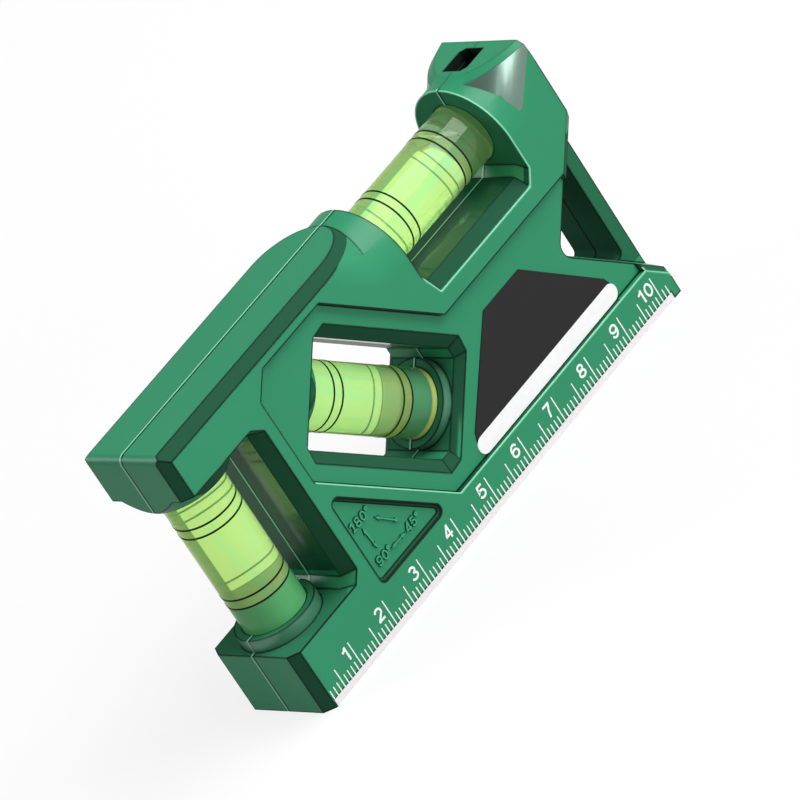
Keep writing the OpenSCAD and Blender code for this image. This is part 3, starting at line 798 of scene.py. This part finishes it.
# Centre lines of the digits in a box one high, each with its closed flag. A loop's arc ends one
# step short of its first point, because its path closes itself. In the signs a 1 stands on a
# foot.
LOOP = (90, 432)
DIGIT_WIDTH, FOOTED_ONE_WIDTH = 0.73, 0.66
NARROW_WIDTHS = {"1": 0.46, "°": 0.42}
DIGITS = {
    "0": [(arc(0.365, 0.5, 0.285, 0.42, *LOOP), True)],
    "1": [(np.array([(0.38, 0.0), (0.38, 1.0)]), False),
          (np.array([(0.345, 0.93), (0.25, 0.8), (0.04, 0.74)]), False)],
    "2": [(np.r_[arc(0.36, 0.665, 0.275, 0.255, 165, -30), [(0.11, 0.1)]], False),
          (np.array([(0.04, 0.08), (0.68, 0.08)]), False)],
    "3": [(arc(0.35, 0.715, 0.25, 0.205, 160, -90), False),
          (arc(0.355, 0.3, 0.29, 0.22, 90, -160), False)],
    "4": [(np.array([(0.5, 0.94), (0.09, 0.3)]), False),
          (np.array([(0.03, 0.28), (0.73, 0.28)]), False),
          (np.array([(0.52, 0.0), (0.52, 1.0)]), False)],
    "5": [(np.r_[[(0.63, 0.92), (0.18, 0.92), (0.13, 0.5)],
                 arc(0.35, 0.335, 0.29, 0.255, 128, -155)], False)],
    "6": [(arc(0.365, 0.335, 0.285, 0.255, *LOOP), True),
          (np.r_[arc(0.4, 0.5, 0.32, 0.42, 195, 35)], False)],
    "7": [(np.array([(0.04, 0.92), (0.7, 0.92)]), False),
          (np.array([(0.61, 0.86), (0.4, 0.47), (0.3, 0.0)]), False)],
    "8": [(arc(0.365, 0.72, 0.235, 0.2, *LOOP), True),
          (arc(0.365, 0.29, 0.285, 0.21, *LOOP), True)],
    "9": [(arc(0.365, 0.665, 0.285, 0.255, *LOOP), True),
          (arc(0.33, 0.5, 0.32, 0.42, 15, -145), False)],
    "°": [(arc(0.2, 0.8, 0.14, 0.14, *LOOP), True)],
}
FOOT_STROKE = (np.array([(0.14, 0.07), (0.62, 0.07)]), False)


def stroke_section(foot, top):
    """Cross section of a stroke one unit high: four corners, as far from its middle as half its
    width at the foot and at the top."""
    return np.array([(-foot, 0.0), (-top, 1.0), (top, 1.0), (foot, 0.0)])


def lettering(words, section, space, footed=False):
    """Points and faces of a row of digits one high and their width: the section is carried
    along each digit's centre lines, and each crossing stroke lies a hair higher."""
    hair = 0.01
    parts, left = [], 0.0
    for letter in words:
        footed_one = footed and letter == "1"
        strokes = DIGITS[letter] + ([FOOT_STROKE] if footed_one else [])
        for layer, (path, closed) in enumerate(strokes):
            points, faces = carry(path + (left, 0.0), section, closed)
            points[:, 2] *= 1 + hair * layer
            parts.append((points, faces))
        wide = FOOTED_ONE_WIDTH if footed_one else NARROW_WIDTHS.get(letter, DIGIT_WIDTH)
        left += wide + space
    return parts, left - space


def on_face(points, left, low, size, back, depth):
    """Lays flat shapes on the front face: x runs along the ruler from left, y runs up from low,
    both times size, and z runs out of the face from back by depth."""
    return np.stack([ZERO_X + left + points[:, 0] * size,
                     FACE_Y + back - points[:, 2] * depth,
                     low + points[:, 1] * size], 1)


def arrow(start, end, sizes):
    """Double-headed arrow one unit high with leaning sides: its outline, two heads joined by a
    shaft, is mirrored about its middle line, turned to run from start to end, and drawn smaller
    at the top. The tips, the backs and the corners of the heads move in by their own share of
    the slope, and a head meets the shaft a little before its corners."""
    tip_share, back_share, corner_share, neck = 2.6, 0.4, 1.4, 0.86
    start, end = np.array(start), np.array(end)
    length = np.linalg.norm(end - start)
    along = (end - start) / length
    rings = []
    for inset, height in ((0.0, 0.0), (sizes.arrow_slope, 1.0)):
        tip, head = inset * tip_share, sizes.arrow_head - inset * back_share
        half = sizes.arrow_width / 2 - inset * corner_share
        thin = sizes.arrow_shaft / 2 - inset
        side = np.array([(tip, 0), (head, -half), (head * neck, -thin),
                         (length - head * neck, -thin), (length - head, -half),
                         (length - tip, 0)])
        outline = np.concatenate([side, side[-2:0:-1] * (1, -1)])
        flat = start + outline[:, :1] * along + outline[:, 1:] * (-along[1], along[0])
        rings.append(np.c_[flat, np.full(len(flat), height)])
    count = len(rings[0])
    ring = np.arange(count)
    after = np.roll(ring, -1)
    walls = np.stack([ring, after, after + count, ring + count], 1).tolist()
    head_shaft_head = [(0, 1, 2, 8, 9), (2, 3, 7, 8), (3, 4, 5, 6, 7)]
    faces = [tuple(wall) for wall in walls]
    faces += [tuple(i + count for i in face) for face in head_shaft_head] + head_shaft_head
    return np.concatenate(rings), faces


# Operators

class LEVEL_OT_shells(bpy.types.Operator):
    """Give the two half shells their green plastic"""
    bl_idname = "spirit_level.shells"
    bl_label = "Half shells"

    def execute(self, context):
        material = moulded_plastic("satin_green_plastic", context.scene.level_colours,
                                   lighter=1.0, edge_reach=0.5 * MM)
        for name in ("front_shell", "rear_shell"):
            finish_node(name, material)
        return {"FINISHED"}


class LEVEL_OT_vials(bpy.types.Operator):
    """Give the three vials their clear barrels, liquid and ring lines"""
    bl_idname = "spirit_level.vials"
    bl_label = "Vials"

    def execute(self, context):
        colours = context.scene.level_colours
        for vial in VIALS:
            barrel = clear_barrel(vial + "_acrylic", colours, vial)
            finish_node(vial + "_tube", barrel)
            finish_node(vial + "_plug", barrel)
            finish_node(vial + "_liquid", tinted_liquid(vial + "_liquid", colours, vial))
            finish_node(vial + "_rings", ring_ink(vial + "_ink", colours, vial))
        return {"FINISHED"}


class LEVEL_OT_prints(bpy.types.Operator):
    """Give the magnet strip, the label and the ruler lines their finish"""
    bl_idname = "spirit_level.prints"
    bl_label = "Magnet, label and ruler lines"

    # Each printed node with its finish, colour, roughness and mottle in cells per metre.
    FILMS = (("label", "dark_label_film", "label_dark", 0.42, 700.0),
             ("label_strip", "light_label_film", "label_light", 0.4, 700.0),
             ("ruler_marks", "white_ink", "ink_light", 0.45, 1500.0))

    def execute(self, context):
        colours = context.scene.level_colours
        finish_node("magnet_strip", magnet_coat(colours.magnet))
        for node, film, colour, roughness, cells in self.FILMS:
            finish_node(node, printed_film(film, getattr(colours, colour), roughness, cells))
        return {"FINISHED"}


class LEVEL_OT_numbers(bpy.types.Operator):
    """Print the centimetre numbers beside their lines"""
    bl_idname = "spirit_level.numbers"
    bl_label = "Ruler numbers"

    # Half the width of a stroke, and the space between digits, in heights of a number.
    SECTION = stroke_section(foot=0.078, top=0.078)
    SPACE = 0.2

    def execute(self, context):
        sizes = context.scene.level_print_sizes
        parts = []
        for number in NUMBERS:
            words = str(number)
            strokes, wide = lettering(words, self.SECTION, self.SPACE)
            gap = sizes.number_gap if len(words) == 1 else sizes.number_gap_wide
            left = number * CENTIMETRE - gap - wide * sizes.number_height
            parts += [(on_face(points, left, sizes.number_low, sizes.number_height, 0.0,
                               sizes.print_depth), faces) for points, faces in strokes]
        add_piece("ruler_numbers", parts, bpy.data.materials["white_ink"])
        return {"FINISHED"}


class LEVEL_OT_signs(bpy.types.Operator):
    """Emboss the angle signs and the arrows between them, and slope the wall round them"""
    bl_idname = "spirit_level.signs"
    bl_label = "Angle signs"

    # Each sign with its left end and its baseline, and the two tips of each arrow, from the foot
    # of the zero end.
    WORDS = (("180°", 22.95 * MM, 18.45 * MM), ("45°", 31.9 * MM, 10.4 * MM),
             ("90°", 23.75 * MM, 10.4 * MM))
    ARROWS = (((28.08 * MM, 17.58 * MM), (32.0 * MM, 13.25 * MM)),
              ((25.0 * MM, 18.0 * MM), (25.45 * MM, 13.05 * MM)),
              ((27.42 * MM, 11.08 * MM), (31.75 * MM, 11.08 * MM)))

    # Half the width of a raised stroke, and the space between digits, in heights of a sign.
    SECTION = stroke_section(foot=0.155, top=0.08)
    SPACE = 0.1

    # The recess has three corners: a left and a low edge, and a slanted one where run and height
    # add up to its reach.
    RECESS_LEFT, RECESS_LOW, RECESS_REACH = 22.05 * MM, 8.15 * MM, 49.57 * MM
    RECESS_CORNER = 1.2 * MM

    def execute(self, context):
        sizes, colours = context.scene.level_print_sizes, context.scene.level_colours
        parts = []
        for words, left, low in self.WORDS:
            strokes, _ = lettering(words, self.SECTION, self.SPACE, footed=True)
            parts += [(on_face(points, left, low, sizes.sign_height, sizes.sign_floor,
                               sizes.sign_raise), faces) for points, faces in strokes]
        for start, end in self.ARROWS:
            points, faces = arrow(start, end, sizes)
            parts.append((on_face(points, 0.0, 0.0, 1.0, sizes.sign_floor, sizes.sign_raise),
                          faces))
        # The signs are the shells' plastic painted lighter, as light on their tops, with shade
        # painted on their flanks.
        raised = moulded_plastic("embossed_green_plastic", colours, lighter=1.45,
                                 edge_reach=0.02 * MM, flank_weight=0.85)
        add_piece("angle_signs", parts, raised)
        add_piece("recess_slope", [self.recess_wall(sizes)],
                  bpy.data.materials["satin_green_plastic"])
        return {"FINISHED"}

    def recess_wall(self, sizes):
        """A wedge carried round the three-cornered recess: its outline is three arcs about the
        corners' centres, and the section runs from the face down to the floor, sunk a hair into
        both."""
        hair = 0.02 * MM
        radius = self.RECESS_CORNER
        low_x, low_z = self.RECESS_LEFT + radius, self.RECESS_LOW + radius
        far = self.RECESS_REACH - radius * ROOT2
        corners = ((low_x, low_z, 180, 270), (far - low_z, low_z, 270, 405),
                   (low_x, far - low_x, 45, 180))
        path = np.concatenate([arc(x, z, radius, radius, start, end)
                               for x, z, start, end in corners])
        section = np.array([(-hair, 0.0), (0.0, sizes.sign_floor), (sizes.recess_slope, 0.0),
                            (0.0, -hair)])
        points, faces = carry(path, section, closed=True)
        return on_face(points, 0.0, 0.0, 1.0, sizes.sign_floor, 1.0), faces


class LEVEL_OT_stage(bpy.types.Operator):
    """Set the camera, the floor, the lamps and the world"""
    bl_idname = "spirit_level.stage"
    bl_label = "Stage"

    def execute(self, context):
        scene, stage = context.scene, context.scene.level_stage
        self.camera(scene, stage)
        self.lamp(scene, "key", stage.key_power, stage.key_size, stage.key_place)
        self.lamp(scene, "fill", stage.fill_power, stage.lamp_size, stage.fill_place)
        self.lamp(scene, "rim", stage.rim_power, stage.lamp_size, stage.rim_place)
        self.floor(scene, stage)
        self.world(scene, stage)
        scene.view_settings.view_transform = "Standard"
        return {"FINISHED"}

    def camera(self, scene, stage):
        """The camera at the photograph's place, turn and lens."""
        sensor_in_mm, nearest, farthest = 36.0, 0.05, 20.0
        view = bpy.data.cameras.new("photo_camera")
        view.lens, view.sensor_width = stage.lens, sensor_in_mm
        view.clip_start, view.clip_end = nearest, farthest
        camera = bpy.data.objects.new("photo_camera", view)
        camera.location = stage.camera_place
        camera.rotation_euler = stage.camera_turn
        scene.collection.objects.link(camera)
        scene.camera = camera

    def lamp(self, scene, name, power, side, place):
        """A square lamp that looks at the level."""
        light = bpy.data.lights.new(name, "AREA")
        light.energy, light.size = power, side
        lamp = bpy.data.objects.new(name, light)
        lamp.location = place
        middle = (CAD_LOW + CAD_HIGH) / 2
        lamp.rotation_euler = (middle - lamp.location).to_track_quat("-Z", "Y").to_euler()
        scene.collection.objects.link(lamp)

    def seen(self, f):
        """1 for rays that see the background from the camera or through glass, and less for
        those that see it in a gloss."""
        gloss_share = 0.4
        path = f.node("ShaderNodeLightPath")
        camera, gloss, through = (
            Value(f, path.outputs[name])
            for name in ("Is Camera Ray", "Is Glossy Ray", "Is Transmission Ray"))
        return camera | gloss * gloss_share | through

    def floor(self, scene, stage):
        """A plain floor under the base, white where the eye sees it, with the level's shadow."""
        glow_share = 0.8
        half = stage.floor_size / 2
        mesh = bpy.data.meshes.new("floor")
        mesh.from_pydata([(-half, -half, 0), (half, -half, 0), (half, half, 0), (-half, half, 0)],
                         [], [(0, 1, 2, 3)])
        f = new_finish("pale_floor")
        seen = self.seen(f)
        colours = scene.level_colours
        matt = f.node("ShaderNodeBsdfDiffuse", None, {
            "Color": f.tint(colours.floor_bounce, colours.floor, seen)}).outputs[0]
        glow = f.node("ShaderNodeEmission", None, {"Strength": 1.0}).outputs[0]
        mesh.materials.append(f.close(f.blend(seen * glow_share, matt, glow)))
        floor = bpy.data.objects.new("floor", mesh)
        scene.collection.objects.link(floor)

    def world(self, scene, stage):
        """Even grey light, white towards the horizon where it is seen."""
        white_to, grey_from = 0.15, 0.4
        f = Finish(bpy.data.worlds.new("soft_studio"))
        height = f.parts(f.node("ShaderNodeTexCoord").outputs["Generated"])[2]
        seen = self.seen(f) * (1 - f.ramp(height, white_to, grey_from))
        sky = f.node("ShaderNodeBackground", None, {
            "Color": WHITE, "Strength": seen * (1 - stage.ambient) + stage.ambient})
        scene.world = f.close(sky.outputs[0])


class LEVEL_PT_panel(bpy.types.Panel):
    """Lists the steps and the sizes and colours"""
    bl_idname = "LEVEL_PT_panel"
    bl_label = "Spirit level"
    bl_space_type = "VIEW_3D"
    bl_region_type = "UI"
    bl_category = "Spirit level"

    def draw(self, context):
        for step in STEPS:
            self.layout.operator(step.bl_idname)
        for group in (context.scene.level_print_sizes, context.scene.level_colours,
                      context.scene.level_stage):
            box = self.layout.box()
            for name in group.bl_rna.properties.keys():
                if name not in ("rna_type", "name"):
                    box.prop(group, name)


GROUPS = {"level_print_sizes": LevelPrintSizes, "level_colours": LevelColours,
          "level_stage": LevelStage}
STEPS = (LEVEL_OT_shells, LEVEL_OT_vials, LEVEL_OT_prints, LEVEL_OT_numbers, LEVEL_OT_signs,
         LEVEL_OT_stage)


def register():
    for kind in (*GROUPS.values(), *STEPS, LEVEL_PT_panel):
        bpy.utils.register_class(kind)
    for name, kind in GROUPS.items():
        setattr(bpy.types.Scene, name, PointerProperty(type=kind))


def unregister():
    for name in GROUPS:
        delattr(bpy.types.Scene, name)
    for kind in (LEVEL_PT_panel, *reversed(STEPS), *GROUPS.values()):
        bpy.utils.unregister_class(kind)


def main():
    """Registers the add-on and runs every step."""
    register()
    for step in STEPS:
        group, name = step.bl_idname.split(".")
        getattr(getattr(bpy.ops, group), name)()


if __name__ == "__main__":
    main()
